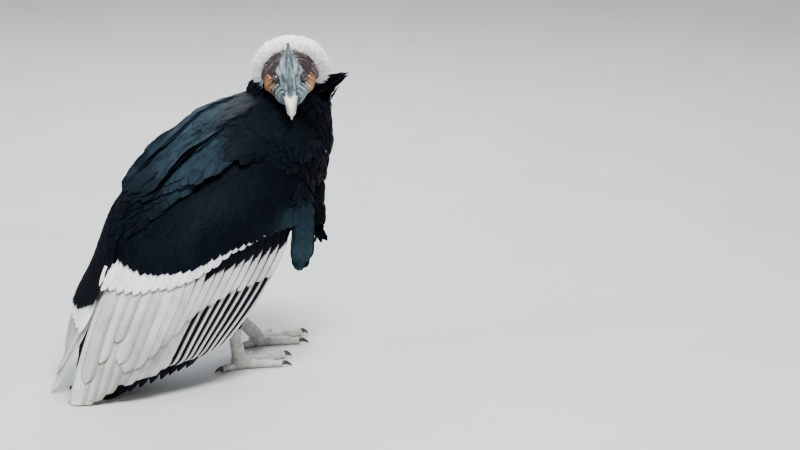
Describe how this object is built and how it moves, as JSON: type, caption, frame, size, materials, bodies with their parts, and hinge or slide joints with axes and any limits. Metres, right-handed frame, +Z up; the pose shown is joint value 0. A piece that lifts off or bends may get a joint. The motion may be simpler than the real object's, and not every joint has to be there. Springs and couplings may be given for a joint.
{
  "type": "andean condor",
  "caption": "Standing adult male Andean condor with folded, drooping wings, a white ruff and its head turned back over its right shoulder; a still, life-size display model.",
  "frame": {"origin": "on the floor, in the middle of the flat under the pad of the right foot", "axes": "+Z up; the body faces -Y with its right side towards -X"},
  "size_m": [0.3312, 0.6767, 0.6637],
  "materials": {
    "black_feather": "soft black feather with a faint blue sheen",
    "wing_feather": "black coverts above, white and pale grey outer webs on the secondaries",
    "ruff_down": "dense white down",
    "face_skin": "bare wrinkled skin, dark purple-brown with orange-tan cheeks and pale grey folds",
    "comb_skin": "grey to near-black fleshy comb",
    "bill_horn": "blue-grey horn with an ivory tip",
    "leg_skin": "whitened grey-green scaly skin",
    "claw_horn": "dark horn",
    "eye": "wet dark brown"
  },
  "bodies": {
    "root": {"torso": "black_feather", "neck": "black_feather", "tail": "black_feather", "wing_right": "wing_feather", "hand_right": "black_feather", "wing_left": "wing_feather", "hand_left": "black_feather", "thigh_right": "black_feather", "foot_right": "leg_skin", "claw_right_1": "claw_horn", "claw_right_2": "claw_horn", "claw_right_3": "claw_horn", "claw_right_4": "claw_horn", "thigh_left": "black_feather", "foot_left": "leg_skin", "claw_left_1": "claw_horn", "claw_left_2": "claw_horn", "claw_left_3": "claw_horn", "claw_left_4": "claw_horn", "head": "face_skin", "bill_upper": "bill_horn", "bill_lower": "bill_horn", "comb": "comb_skin", "eye_right": "eye", "eye_left": "eye", "ruff": "ruff_down"}
  },
  "joints": []
}
